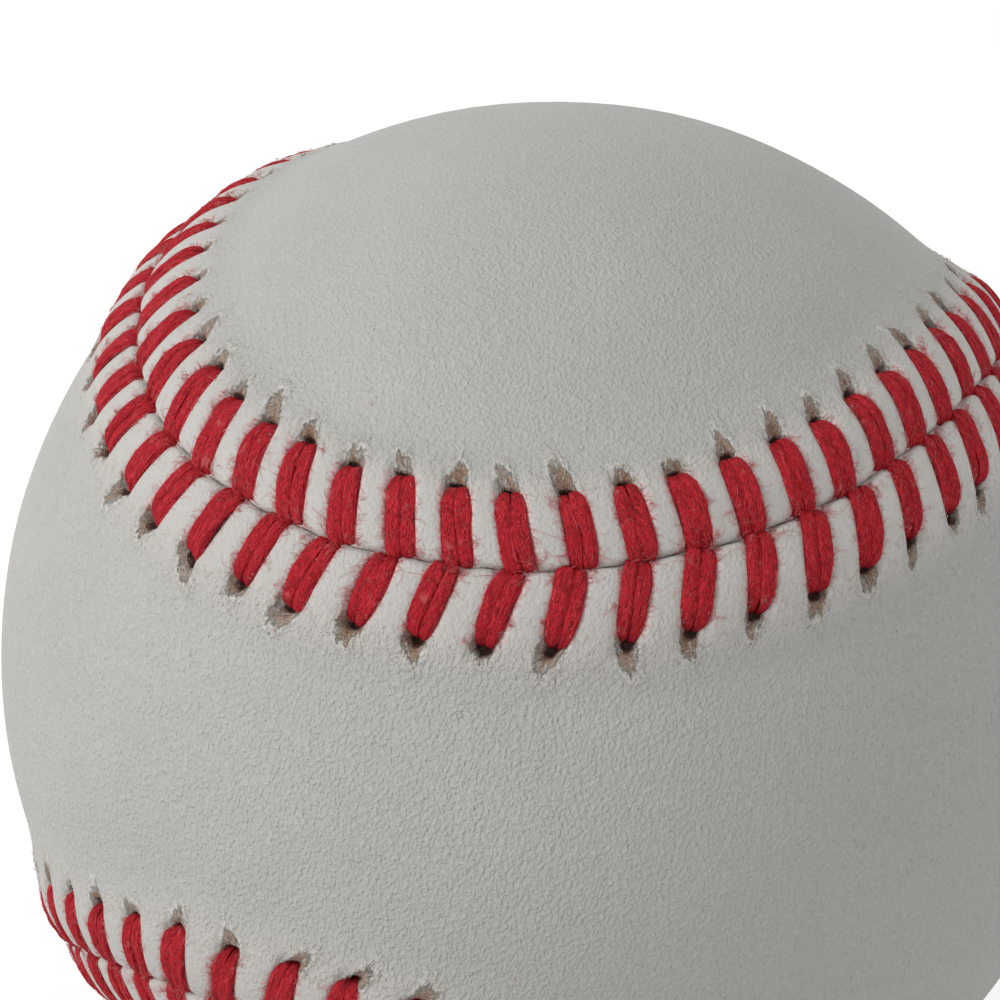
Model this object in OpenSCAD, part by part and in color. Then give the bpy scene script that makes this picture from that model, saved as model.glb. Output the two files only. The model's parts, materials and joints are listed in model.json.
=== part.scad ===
// Baseball: a cork and rubber pill, four yarn windings, a cement coat, two leather panels and the stitching.
// Millimetres. The origin is the centre of the ball and +Z is up.
// The narrow neck of the front panel faces -Y, and its two lobes wrap round the left and right sides.
// The neck of the back panel faces +Y, and its lobes wrap over the top and under the bottom.

/* [Pill] */
// Diameter of the cork and rubber centre
centre_d = 20.6; // [16:0.1:25]
// Thickness of the black rubber shells
inner_shell_t = 4; // [2:0.1:6]
// Thickness of the red rubber shells
outer_shell_t = 2.4; // [1:0.1:4]
// Thickness of the washer between the rims of the black shells
washer_t = 0.8; // [0.4:0.1:2]

/* [Windings] */
// Thickness of the first winding, of grey wool yarn
first_winding_t = 14.6; // [10:0.1:18]
// Thickness of the second winding, of white wool yarn
second_winding_t = 1.8; // [1:0.1:3]
// Thickness of the third winding, of grey wool yarn
third_winding_t = 2.2; // [1:0.1:3]
// Thickness of the fourth winding, of fine white finishing yarn
fourth_winding_t = 0.4; // [0.2:0.05:1]
// Thickness of the rubber cement that holds the cover down
cement_t = 0.1; // [0.05:0.01:0.3]

/* [Cover] */
// Thickness of the leather
leather_t = 1.2; // [0.8:0.05:1.6]
// Width of each panel's neck, measured round the ball from seam to seam
neck_w = 31.5; // [26:0.5:38]
// Angle by which the seam swings aside between two necks
seam_swing = 20.3; // [14:0.1:24]
// Angle by which the bends of the seam are flattened
seam_flat = 2.4; // [0:0.1:5]
// Gap between the edges of the two panels
seam_gap = 0.2; // [0.1:0.05:0.5]
// Height of the raised edge of the leather beside the seam
welt_h = 0.45; // [0.2:0.05:0.8]

/* [Stitching] */
// Number of stitches along each panel's edge
stitch_count = 108; // [80:1:116]
// Distance from the seam to the needle holes of the front panel
front_holes = 4.4; // [3.5:0.1:6]
// Distance from the seam to the needle holes of the back panel
back_holes = 4.7; // [3.5:0.1:6]
// Width of one strand of the thread
strand_w = 0.9; // [0.6:0.05:1.1]
// Width by which the two strands of a stitch share their sides
strand_lap = 0.08; // [0.04:0.01:0.2]
// Height of a stitch over the raised edge
stitch_h = 0.5; // [0.3:0.05:0.9]
// Distance along the seam from its start to the first stitch
row_start = 2.8; // [0:0.1:3.6]
// Distance along the seam by which the front row runs ahead of the back row
row_lead = 0.3; // [-1:0.1:1]
// Slant of the front stitches, as a distance along the seam from their outer end to their inner end
front_slant = 1; // [-1:0.1:1.6]
// Slant of the back stitches, measured the same way
back_slant = 0.2; // [-1:0.1:1.6]
// Distance by which the slant of the back stitches grows and shrinks round the bends
back_slant_swing = 1.3; // [0:0.1:1.4]

/* [Hidden] */

$fn = 96;
// Facets round the bed that the leather is cut to
bed_facets = 360;

// Clearance under a stitch and between the cement and the leather
rest_clear = 0.01;
// How far a cutting block or a cut end runs past what it cuts
overrun = 0.5;

// Radii from the centre outwards, each layer lying on the one inside it
centre_r = centre_d / 2;
inner_shell_r = centre_r + inner_shell_t;
pill_r = inner_shell_r + outer_shell_t;
first_winding_r = pill_r + first_winding_t;
second_winding_r = first_winding_r + second_winding_t;
third_winding_r = second_winding_r + third_winding_t;
fourth_winding_r = third_winding_r + fourth_winding_t;
cement_r = fourth_winding_r + cement_t;
cover_in_r = cement_r + rest_clear;
ball_r = cement_r + leather_t;

// Columns of points along a panel's edge, a multiple of 4, and steps used to measure the seam
edge_columns = 144;
seam_steps = 720;
seam_turn = 720;

// Shares of the raised edge's width at which the leather has a ring of points
welt_shares = [0, 0.18, 0.38, 0.6, 0.82, 1];
// Steps from the raised edge to the panel's middle line
field_steps = 8;
// Angle from the neck to the end of a panel's middle line, at the middle of each lobe
lobe_angle = 112;
// Share of the spacing of the needle holes that follows the panel's own edge and not the seam
edge_spacing_share = 0.23;
// Times that the slant of the back stitches grows and shrinks round the whole seam
slant_swings = 4;
// Angle past each end of a stitch that is cut away where it meets the leather
stitch_end_angle = 14;

// Angle round the ball, in degrees, that spans a distance d on the leather
function ball_angle(d) = d / ball_r * 180 / PI;

// The seam, as a direction from the centre, for t from 0 to 720 degrees
neck_angle = ball_angle(neck_w / 2);
function seam_tilt(t) = 90 - (90 - neck_angle + seam_flat) * cos(t) + seam_flat * cos(3 * t);
function seam_side(t) = t / 2 + seam_swing * sin(2 * t);
function seam_dir(t) = [
    sin(seam_tilt(t)) * sin(seam_side(t)),
    -cos(seam_tilt(t)),
    -sin(seam_tilt(t)) * cos(seam_side(t))
];

// The direction beside the seam, towards the front panel
seam_step = seam_turn / seam_steps;
function unit(v) = v / norm(v);
function seam_beside(t) = unit(cross(seam_dir(t), seam_dir(t + seam_step) - seam_dir(t - seam_step)));

// The direction at distance d from the seam, positive on the front panel
function beside_dir(t, d) =
    cos(ball_angle(d)) * seam_dir(t) + sin(ball_angle(d)) * seam_beside(t);

// Running lengths along the line at distance d from the seam
function line_points(d) = [for (i = [0 : seam_steps]) ball_r * beside_dir(i * seam_step, d)];
function running_lengths(p) = [
    for (i = 0, s = 0; i < len(p); i = i + 1, s = s + (i < len(p) ? norm(p[i] - p[i - 1]) : 0)) s
];
seam_lengths = running_lengths(line_points(0));
seam_length = seam_lengths[seam_steps];

// Places along the line at distance d, spaced between the seam's own lengths and the line's
function spaced_lengths(lengths, share) = [
    for (i = [0 : seam_steps])
        [(1 - share) * seam_lengths[i] + share * lengths[i] * seam_length / lengths[seam_steps],
         i * seam_step]
];
seam_table = spaced_lengths(seam_lengths, 0);
function wrap(s) = s - seam_length * floor(s / seam_length);
function seam_t(s, table) = lookup(wrap(s), table);

// The middle line of the front panel, for a from -1 to 1
function middle_dir(a) = [sin(lobe_angle * a), -cos(lobe_angle * a), 0];

// The direction at share u of the way round the ball from direction a to direction b
function between_dir(a, b, u) =
    let (w = acos(a * b))
    (sin((1 - u) * w) * a + sin(u * w) * b) / sin(w);

// Height of the leather's raised edge at a share u of its width
function welt_rise(u) = welt_h * (1 - pow(2 * u - 1, 2));

// Columns of a panel, as seam positions, with the matching point on the middle line
column_t = [for (i = [0 : edge_columns - 1]) seam_t(i * seam_length / edge_columns, seam_table)];
function middle_index(i) =
    let (m = (i + edge_columns / 4) % edge_columns)
    m <= edge_columns / 2 ? m : edge_columns - m;
middle_points = [
    for (j = [0 : edge_columns / 2])
        let (i = (j + edge_columns * 3 / 4) % edge_columns)
        ball_r * middle_dir(sin(column_t[i] / 2))
];

// The outer surface of a panel closed down to the centre of the ball, for holes at distance holes
module panel_wedge(holes) {
    welt_w = holes - seam_gap / 2;
    welt_rings = [
        for (u = welt_shares)
            [for (t = column_t) (ball_r + welt_rise(u)) * beside_dir(t, seam_gap / 2 + u * welt_w)]
    ];
    field_rings = [
        for (k = [1 : field_steps - 1])
            [for (t = column_t)
                ball_r * between_dir(beside_dir(t, holes), middle_dir(sin(t / 2)), k / field_steps)]
    ];
    rings = concat(welt_rings, field_rings);
    n = edge_columns;
    last = len(rings) - 1;
    middle_start = len(rings) * n;
    centre_index = middle_start + len(middle_points);
    points = concat([for (r = rings) each r], middle_points, [[0, 0, 0]]);
    ring_faces = [
        for (k = [0 : last - 1], i = [0 : n - 1])
            let (j = (i + 1) % n, a = k * n + i, b = k * n + j, c = b + n, d = a + n)
            each [[a, c, b], [a, d, c]]
    ];
    middle_faces = [
        for (i = [0 : n - 1])
            let (j = (i + 1) % n, a = last * n + i, b = last * n + j)
            let (c = middle_start + middle_index(j), d = middle_start + middle_index(i))
            each [[a, c, b], [a, d, c]]
    ];
    side_faces = [for (i = [0 : n - 1]) [i, (i + 1) % n, centre_index]];
    polyhedron(points = points, faces = concat(ring_faces, middle_faces, side_faces));
}

module panel(holes) {
    difference() {
        panel_wedge(holes);
        sphere(r = cover_in_r, $fn = bed_facets);
    }
}

// One leg of a stitch, from its needle hole to the seam, lying on the leather's raised edge
module stitch_leg(outer_dir, inner_dir) {
    outer_end = ball_r * outer_dir;
    inner_end = ball_r * inner_dir;
    middle = (outer_end + inner_end) / 2;
    up = unit(middle);
    along = unit(inner_end - outer_end);
    chord_half = norm(inner_end - outer_end) / 2;
    welt_rise_here = ball_r + welt_h + rest_clear - norm(middle);
    top_rise = welt_rise_here + stitch_h;
    welt_r = (chord_half * chord_half + welt_rise_here * welt_rise_here) / (2 * welt_rise_here);
    top_r = (chord_half * chord_half + top_rise * top_rise) / (2 * top_rise);
    half_angle = atan2(chord_half, top_r - top_rise) + stitch_end_angle;
    lean = acos(up[2]);
    heading = atan2(up[1], up[0]);
    side_x = [cos(lean) * cos(heading), cos(lean) * sin(heading), -sin(lean)];
    side_y = [-sin(heading), cos(heading), 0];
    rotate([0, lean, heading])
        rotate([0, 0, atan2(along * side_y, along * side_x)])
            translate([0, 0, norm(middle)])
                difference() {
                    translate([0, 0, top_rise - top_r])
                        rotate([90, 90 - half_angle, 0])
                            rotate_extrude(angle = 2 * half_angle)
                                for (side = [-1, 1])
                                    translate([top_r - strand_w / 2, side * (strand_w - strand_lap) / 2])
                                        circle(d = strand_w);
                    translate([0, 0, welt_rise_here - welt_r])
                        rotate([90, 0, 0])
                            cylinder(r = welt_r, h = 2 * strand_w + overrun, center = true);
                }
}

// A row of stitches: side is 1 on the front panel and -1 on the back one
module stitch_row(side, holes, start, slant, slant_swing) {
    pitch = seam_length / stitch_count;
    edge_lengths = running_lengths(line_points(side * holes));
    holes_table = spaced_lengths(edge_lengths, edge_spacing_share);
    for (k = [0 : stitch_count - 1]) {
        s = start + k * pitch;
        lead = slant + slant_swing * cos(slant_swings * 360 * s / seam_length);
        outer_dir = beside_dir(seam_t(s, holes_table), side * holes);
        inner_dir = beside_dir(seam_t(s - lead, seam_table), side * seam_gap / 2);
        stitch_leg(outer_dir, inner_dir);
    }
}

// A shell between two radii
module shell(inner_r, outer_r) {
    difference() {
        sphere(r = outer_r);
        sphere(r = inner_r);
    }
}

// The half of a shell on the +Z side of the plane at height cut
module half_shell(inner_r, outer_r, cut) {
    difference() {
        shell(inner_r, outer_r);
        translate([0, 0, cut - outer_r - overrun])
            cube(2 * (outer_r + overrun), center = true);
    }
}

module centre() {
    color([0.62, 0.45, 0.3]) sphere(r = centre_r);
}

module inner_shell_lower() {
    color([0.12, 0.12, 0.12]) mirror([0, 0, 1]) half_shell(centre_r, inner_shell_r, washer_t / 2);
}

module inner_shell_upper() {
    color([0.12, 0.12, 0.12]) half_shell(centre_r, inner_shell_r, washer_t / 2);
}

module shell_washer() {
    color([0.6, 0.16, 0.13])
        intersection() {
            shell(centre_r, inner_shell_r);
            cube([2 * inner_shell_r + overrun, 2 * inner_shell_r + overrun, washer_t], center = true);
        }
}

module outer_shell_left() {
    color([0.66, 0.2, 0.16]) rotate([0, -90, 0]) half_shell(inner_shell_r, pill_r, 0);
}

module outer_shell_right() {
    color([0.66, 0.2, 0.16]) rotate([0, 90, 0]) half_shell(inner_shell_r, pill_r, 0);
}

module first_winding() {
    color([0.52, 0.52, 0.5]) shell(pill_r, first_winding_r);
}

module second_winding() {
    color([0.88, 0.86, 0.8]) shell(first_winding_r, second_winding_r);
}

module third_winding() {
    color([0.56, 0.55, 0.53]) shell(second_winding_r, third_winding_r);
}

module fourth_winding() {
    color([0.92, 0.91, 0.88]) shell(third_winding_r, fourth_winding_r);
}

module cement_coat() {
    color([0.85, 0.8, 0.66]) shell(fourth_winding_r, cement_r);
}

module cover_front() {
    color([0.84, 0.83, 0.8]) panel(front_holes);
}

module cover_back() {
    color([0.84, 0.83, 0.8]) mirror([0, 1, 0]) rotate([0, -90, 0]) panel(back_holes);
}

module stitches_front() {
    color([0.74, 0.09, 0.14]) stitch_row(1, front_holes, row_start + row_lead, front_slant, 0);
}

module stitches_back() {
    color([0.74, 0.09, 0.14]) stitch_row(-1, back_holes, row_start, back_slant, back_slant_swing);
}

centre();
inner_shell_lower();
inner_shell_upper();
shell_washer();
outer_shell_left();
outer_shell_right();
first_winding();
second_winding();
third_winding();
fourth_winding();
cement_coat();
cover_front();
cover_back();
stitches_front();
stitches_back();
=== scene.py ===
"""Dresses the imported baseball: stitched leather, red thread with its fuzz, and the layers inside."""

import json
import math

import bpy
import numpy as np
from mathutils import Matrix, Vector

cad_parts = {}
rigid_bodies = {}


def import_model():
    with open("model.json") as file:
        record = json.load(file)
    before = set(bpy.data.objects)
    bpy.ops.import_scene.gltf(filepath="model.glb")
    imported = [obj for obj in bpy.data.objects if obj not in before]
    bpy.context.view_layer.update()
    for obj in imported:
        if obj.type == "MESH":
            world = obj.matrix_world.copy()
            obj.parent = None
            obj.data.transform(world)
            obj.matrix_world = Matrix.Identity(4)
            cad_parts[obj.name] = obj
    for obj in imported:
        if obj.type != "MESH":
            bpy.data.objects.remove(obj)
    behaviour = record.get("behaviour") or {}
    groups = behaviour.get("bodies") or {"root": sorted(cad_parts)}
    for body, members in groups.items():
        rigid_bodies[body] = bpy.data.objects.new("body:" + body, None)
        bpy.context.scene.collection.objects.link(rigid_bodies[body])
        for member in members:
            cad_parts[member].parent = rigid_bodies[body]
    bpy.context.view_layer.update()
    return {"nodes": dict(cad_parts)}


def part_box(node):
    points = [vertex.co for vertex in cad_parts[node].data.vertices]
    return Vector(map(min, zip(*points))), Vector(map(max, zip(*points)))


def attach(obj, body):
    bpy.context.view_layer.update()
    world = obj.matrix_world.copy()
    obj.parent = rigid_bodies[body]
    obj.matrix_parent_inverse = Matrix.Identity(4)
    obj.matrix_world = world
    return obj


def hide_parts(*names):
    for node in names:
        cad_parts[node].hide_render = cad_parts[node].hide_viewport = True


for leftover in list(bpy.data.objects):
    bpy.data.objects.remove(leftover)
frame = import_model()

# Shapes are worked out in millimetres and written in metres.
MM = 0.001
BALL_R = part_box("cover_back")[1].z / MM

# The seam, with the same values as the CAD source.
NECK_W = 31.5          # width of a panel's neck, round the ball
SEAM_SWING = 20.3      # degrees that the seam swings aside between two necks
SEAM_FLAT = 2.4        # degrees by which its bends are flattened
SEAM_TURN = 720.0      # degrees of t in one trip round the seam
SEAM_STEPS = 2880
LOBE_ANGLE = 112.0     # from the neck to the end of a panel's middle line
LEATHER_T = 1.2
REST_CLEAR = 0.01      # the gap left under the leather
UNDER_R = BALL_R - LEATHER_T + REST_CLEAR
LEGS = 108             # stitches in each panel
HOLE_SPACING_SHARE = 0.23    # how far the holes keep an even spacing of their own
SLANT_SWINGS = 4
SLANT_RUNS_TO = 1.3    # from the seam, in distances to the holes
SEAM_WAVER = 0.05      # how far the seam strays from its line

# How far one stitch differs from the next.
OUTER_SPREAD = 0.09    # its hole along the seam
INNER_SPREAD = 0.07    # its inner end
BOW_SPREAD = 0.09      # its middle
HOLE_SPREAD = 0.10     # its hole's distance from the seam
RISE_SPREAD = 0.025    # its height
LOBE_SPREAD = 0.035    # the height of the lobe beside it, as a share
SKEW_SPREAD = 0.22     # the slant of its tear

# Relief of the leather.
EDGE_D = 0.02          # from the seam's line to the leather's edge
LOBE_H = 1.04          # height of the leather between two stitches
SEAM_DIP = 0.26        # share by which it is lower at the seam
SEAM_DIP_TO = 2.2
GROOVE_H = 0.28        # height of the leather under a stitch
LEG_HALF = 0.90        # half the width of a stitch
TUCK = 0.30            # how far the groove's wall starts under the thread
END_ROUND = 0.60       # length over which a lobe rounds down to the seam
CORNER_POWER = 2.3     # how round the corners of a lobe are
CROWN_POWER = 5.0      # how steep its sides are
FALL_FROM = 2.6        # where the raised leather starts to fall, from the seam
FALL_TO = 8.4          # where it has reached the round of the ball
PUCKER = 1.8           # how far the grooves run on past the holes
HOLE_DEPTH = 0.56      # the needle hole at the stitch's outer end
HOLE_HALF = 0.47
TEAR_DEPTH = 0.10      # the torn leather round the hole and outwards from it
TEAR_LIP = 0.05        # height of the lip round it
LIP_AT = 1.14          # where the lip stands, as a share of the tear's size
LIP_HALF = 0.13
SWELL_H = 0.035        # slow ups and downs of the leather
SWELL_LENGTH = 16
RAGS = ((7, 1.1, 0.10), (8, 0.55, 0.05))    # seed, length and amount of the tears' ragged outline

# Rows of vertices: as shares of the distance to the holes, and as distances past them.
INNER_SHARES = (0.0, .012, .032, .06, .095, .14, .195, .265, .35, .445,
                .54, .63, .71, .78, .84, .89, .935, .975)
OUTER_STEPS = (0.02, .14, .26, .38, .50, .63, .79, 1.0, 1.28, 1.7, 2.3, 3.0, 3.8)
# Columns of vertices on each side of a stitch, as shares of the distance to the next stitch.
COLUMN_SHARES = (.045, .09, .135, .175, .21, .24, .265, .295, .335, .385, .44)
# Distances beyond those at which the columns are halved, and the number of steps from there to the middle.
OUTSIDE_WIDTHS, OUTSIDE_STEPS = (0.5, 1.2), 11
UNDERSIDE_WIDTHS, UNDERSIDE_STEPS = (0.8, 2.0), 8

# The thread: two flattened strands side by side in each stitch.
STRAND_HALF = 0.484    # half the width of one strand
STRAND_RISE = 0.30     # half its thickness
STRAND_APART = 0.434   # from the stitch's middle to the strand's
STRAND_TOP_SIDES = 18
STRAND_BED_SIDES = 8
SQUARE_ACROSS = 0.66   # powers that square its section
SQUARE_UP = 0.78
GRAIN_TURN = 0.6       # how fast the lines on a twisted strand turn round it
# Distance in from the hole, height of the strand's middle over the crest, and share of its full width.
STRAND_OUTER = np.array([
    (0.12, -1.34, 0.72), (0.135, -1.08, 0.79), (0.17, -0.84, 0.85), (0.25, -0.63, 0.91),
    (0.39, -0.48, 0.955), (0.60, -0.38, 0.985), (0.90, -0.31, 1.0), (1.32, -0.26, 1.0),
    (1.8, -0.23, 1.0), (2.3, -0.22, 1.0), (2.8, -0.22, 1.0), (3.25, -0.22, 1.0)])
# The same by the distance from the seam.
STRAND_INNER = np.array([
    (0.85, -0.23, 0.99), (0.50, -0.27, 0.94), (0.28, -0.36, 0.88), (0.15, -0.52, 0.82), (0.08, -0.79, 0.76)])


# The seam.

def arc(d):
    """Degrees round the ball for d millimetres on it."""
    return np.degrees(d / BALL_R)


def sind(a):
    return np.sin(np.radians(a))


def cosd(a):
    return np.cos(np.radians(a))


def unit(v):
    return v / np.linalg.norm(v, axis=-1, keepdims=True)


def seam_dir(t):
    neck = arc(NECK_W / 2)
    tilt = 90 - (90 - neck + SEAM_FLAT) * cosd(t) + SEAM_FLAT * cosd(3 * t)
    side = t / 2 + SEAM_SWING * sind(2 * t)
    return np.stack([sind(tilt) * sind(side), -cosd(tilt), -sind(tilt) * cosd(side)], axis=-1)


def seam_beside(t):
    """The direction beside the seam, towards the front panel."""
    step = 0.25
    return unit(np.cross(seam_dir(t), seam_dir(t + step) - seam_dir(t - step)))


def beside_dir(t, d):
    """The direction at distance d from the seam, positive on the front panel."""
    a = arc(d)[..., None]
    return cosd(a) * seam_dir(t) + sind(a) * seam_beside(t)


def lengths_along(points):
    """The length run from the first of a line of points to each."""
    return np.concatenate([[0], np.cumsum(np.linalg.norm(np.diff(points, axis=0), axis=1))])


SEAM_T = np.linspace(0, SEAM_TURN, SEAM_STEPS + 1)
SEAM_LENGTHS = lengths_along(BALL_R * beside_dir(SEAM_T, 0.0))
SEAM_LENGTH = SEAM_LENGTHS[-1]
PITCH = SEAM_LENGTH / LEGS
ROW_R = SEAM_LENGTH / (2 * math.pi)    # of a circle as long as the seam, for patterns that run round it


def spaced_t(s, lengths, share):
    """The seam's t at length s along a line spaced between the seam's own lengths and the line's."""
    mixed = (1 - share) * SEAM_LENGTHS + share * lengths * SEAM_LENGTH / lengths[-1]
    turns = np.floor(s / SEAM_LENGTH)
    return np.interp(s - turns * SEAM_LENGTH, mixed, SEAM_T) + turns * SEAM_TURN


def middle_dir(side, t):
    """The point of a panel's middle line that faces the seam at t."""
    a = LOBE_ANGLE * sind((t if side > 0 else t - SEAM_TURN / 4) / 2)
    x, y = sind(a), -cosd(a)
    zero = np.zeros_like(x)
    return np.stack([x, y, zero], -1) if side > 0 else np.stack([zero, -y, x], -1)


def between_dir(a, b, u):
    w = np.arccos(np.clip(np.sum(a * b, -1, keepdims=True), -1, 1))
    return (np.sin((1 - u) * w) * a + np.sin(u * w) * b) / np.sin(w)


def smooth(x, low, high):
    """0 below low, 1 above high and an even curve between them."""
    u = np.clip((x - low) / (high - low), 0, 1)
    return u * u * (3 - 2 * u)


def ripple(values, c):
    """A value for each stitch, run smoothly from one stitch to the next."""
    k = np.floor(c).astype(int)
    u = smooth(c - k, 0, 1)
    return values[k % LEGS] * (1 - u) + values[(k + 1) % LEGS] * u


def soft_noise(points, seed, length, amount, waves=14):
    """Gentle ups and downs over the ball, about `length` millimetres long."""
    rng = np.random.default_rng(seed)
    total = np.zeros(points.shape[:-1])
    for _ in range(waves):
        k = unit(rng.normal(size=3)) * rng.uniform(0.7, 1.5) * 2 * math.pi / length
        total += np.sin(points @ k + rng.uniform(0, 2 * math.pi))
    return amount * total / math.sqrt(waves)


def swell(direction):
    """Slow ups and downs of the leather's outside."""
    return soft_noise(direction * BALL_R, 5, SWELL_LENGTH, SWELL_H)


def crest(d):
    """Height of the stitched band at distance d from the seam."""
    dip = SEAM_DIP * (1 - smooth(d, -0.6, SEAM_DIP_TO))
    return LOBE_H * (1 - dip) * (1 - smooth(d, FALL_FROM, FALL_TO))


class Row:
    """A panel's edge with its row of stitches. c counts them along the seam, d is the distance from it."""

    def __init__(self, side, holes, start, slant, slant_swing, hole_long, tear, seed):
        self.side, self.holes, self.start = side, holes, start
        self.slant, self.slant_swing = slant, slant_swing
        self.hole_lengths = lengths_along(BALL_R * beside_dir(SEAM_T, side * holes))
        self.edge_d = holes + OUTER_STEPS[-1]
        reach, half, self.tear_shift = tear
        rng = np.random.default_rng(seed)
        self.outer_shift, self.inner_shift, self.bow, self.hole_shift = (
            rng.normal(0, spread, LEGS) for spread in (OUTER_SPREAD, INNER_SPREAD, BOW_SPREAD, HOLE_SPREAD))
        self.leg_half = LEG_HALF + rng.uniform(-0.05, 0.04, LEGS)
        self.leg_rise = rng.normal(0, RISE_SPREAD, LEGS)
        self.lobe_rise = rng.normal(0, LOBE_SPREAD, LEGS)
        self.tear_seed = rng.uniform(0, 1, LEGS)
        self.tear_reach = reach * rng.uniform(0.60, 1.30, LEGS)
        self.tear_half = half * rng.uniform(0.85, 1.15, LEGS)
        self.hole_long = hole_long * rng.uniform(0.5, 1.3, LEGS)
        self.tear_skew = rng.normal(0, SKEW_SPREAD, LEGS)
        self.pinch = rng.uniform(0.0, 0.36, LEGS)

    def t_at(self, c, d):
        s = self.start + c * PITCH
        lead = self.slant + self.slant_swing * np.cos(SLANT_SWINGS * 2 * math.pi * s / SEAM_LENGTH)
        inner = spaced_t(s - lead + ripple(self.inner_shift, c), SEAM_LENGTHS, 0)
        outer = spaced_t(s + ripple(self.outer_shift, c), self.hole_lengths, HOLE_SPACING_SHARE)
        v = d / self.holes
        bow = ripple(self.bow, c) * SEAM_TURN / SEAM_LENGTH * np.sin(math.pi * np.clip(v, 0, 1))
        return inner + (outer - inner) * np.minimum(v, SLANT_RUNS_TO) + bow

    def direction(self, c, d):
        t = self.t_at(c, d)
        v = d / self.holes
        fading = np.where(v < 1, np.clip(v, 0, 1), 1 - smooth(d, self.holes, self.edge_d))
        waver = SEAM_WAVER * (sind(11 * t + 40) + sind(29 * t + 200) + 0.7 * sind(53 * t))
        shifted = self.side * (d + ripple(self.hole_shift, c) * fading)
        return beside_dir(t, shifted + waver * (1 - smooth(d, 0, 3)))

    def spacing(self, c, d):
        """Millimetres from one stitch to the next, square to the stitches."""
        step = 0.05
        gaps = []
        for at in (0.0, self.holes):
            before, after = (beside_dir(self.t_at(c + s, at), self.side * at) for s in (-step, step))
            gaps.append(BALL_R * np.linalg.norm(after - before, axis=-1) / (2 * step))
        along = (self.t_at(c, self.holes) - self.t_at(c, 0.0)) * SEAM_LENGTH / SEAM_TURN
        square = self.holes / np.hypot(self.holes, along)
        return (gaps[0] + (gaps[1] - gaps[0]) * d / self.holes) * square

    def width_share(self, k, d):
        """Share of its full width that stitch k has at d, where it is pinched near its hole."""
        return 1 - self.pinch[k] * (1 - smooth(self.holes - d, 0.1, 1.4))

    def lobes(self, x, d, gap, k):
        """Height of the lobes beside stitch k and of the groove under it."""
        ease = smooth(np.abs(x), 0, 0.5)
        near, far = np.where(x < 0, k - 1, k) % LEGS, np.where(x < 0, k, k - 1) % LEGS
        rise = self.lobe_rise[near] * (0.5 + 0.5 * ease) + self.lobe_rise[far] * (0.5 - 0.5 * ease)
        top = crest(d) * (1 + rise)
        floor = np.minimum(GROOVE_H, top)
        floor = floor + (top - floor) * smooth(d - self.holes, -0.1, PUCKER)
        edge = self.leg_half[k] - TUCK
        b = np.clip((np.abs(x) - edge) / (gap / 2 - edge), 0, 1)
        e = np.clip((d - EDGE_D) / END_ROUND, 0, 1)
        inside = np.minimum(((1 - b) ** CORNER_POWER + (1 - e) ** CORNER_POWER) ** (1 / CORNER_POWER), 1)
        return floor + (top - floor) * (1 - inside ** CROWN_POWER)

    def torn(self, lean, past, k, ragged):
        """Depth of stitch k's needle hole and of the tear round it, less the lip at the tear's rim."""
        begun = smooth(past, -0.5, -0.1)
        out = np.maximum(past + ragged, 0)
        rim = np.hypot((lean - self.tear_shift + ragged) / self.tear_half[k], out / self.tear_reach[k])
        tear = TEAR_DEPTH * begun * (1 - smooth(rim, 0.45, 0.95)) * (1.5 - 0.7 * np.minimum(rim, 1))
        lip = TEAR_LIP * begun * np.exp(-((rim - LIP_AT) / LIP_HALF) ** 2)
        ring = np.hypot((lean + ragged) / HOLE_HALF, np.maximum(past, 0) / self.hole_long[k])
        return tear - lip + HOLE_DEPTH * smooth(past, -0.6, -0.3) * (1 - smooth(ring, 0.6, 1.1))

    def lean_at(self, x, d, k):
        """The place across stitch k's tear, which slants outwards from the hole."""
        return x - self.tear_skew[k] * np.maximum(d - self.holes, 0)

    def height(self, c, d, k, ragged=0.0):
        """Height of the leather over the round of the ball, beside stitch k."""
        gap = self.spacing(c, d)
        x = (c - k) * gap
        k = k % LEGS
        return self.lobes(x, d, gap, k) - self.torn(self.lean_at(x, d, k), d - self.holes, k, ragged)


FRONT = Row(1, holes=4.4, start=3.1, slant=1.0, slant_swing=0.0, hole_long=0.66,
            tear=(1.50, 0.68, 0.12), seed=11)
BACK = Row(-1, holes=4.7, start=2.8, slant=0.2, slant_swing=1.3, hole_long=0.34,
           tear=(1.45, 0.60, 0.0), seed=23)


# Meshes.

def add_object(name, data):
    obj = bpy.data.objects.new(name, data)
    bpy.context.scene.collection.objects.link(obj)
    return obj


def make_object(name, points, quads, tris, *attributes):
    """A mesh from millimetre points and faces. attributes are (name, domain, values), vectors each."""
    mesh = bpy.data.meshes.new(name)
    mesh.vertices.add(len(points))
    mesh.vertices.foreach_set("co", (points * MM).astype(np.float32).ravel())
    corners = np.concatenate([quads.ravel(), tris.ravel()]).astype(np.int32)
    mesh.loops.add(len(corners))
    mesh.loops.foreach_set("vertex_index", corners)
    sizes = np.repeat([4, 3], [len(quads), len(tris)])
    mesh.polygons.add(len(sizes))
    mesh.polygons.foreach_set("loop_start", (np.cumsum(sizes) - sizes).astype(np.int32))
    mesh.polygons.foreach_set("use_smooth", np.ones(len(sizes), bool))
    for label, domain, values in attributes:
        layer = mesh.attributes.new(label, "FLOAT_VECTOR", domain)
        layer.data.foreach_set("vector", values.astype(np.float32).ravel())
    mesh.update(calc_edges=True)
    mesh.validate()
    return add_object(name, mesh)


# The corner layers of the leather, three numbers each, and their values away from the stitches.
LAYERS = ("hole", "tear", "row_place")
PLAIN = np.array([5.0, 5.0, 0.0, 1.0, 1.0, 1.0, 0.0, 0.0, 0.0])


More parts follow.
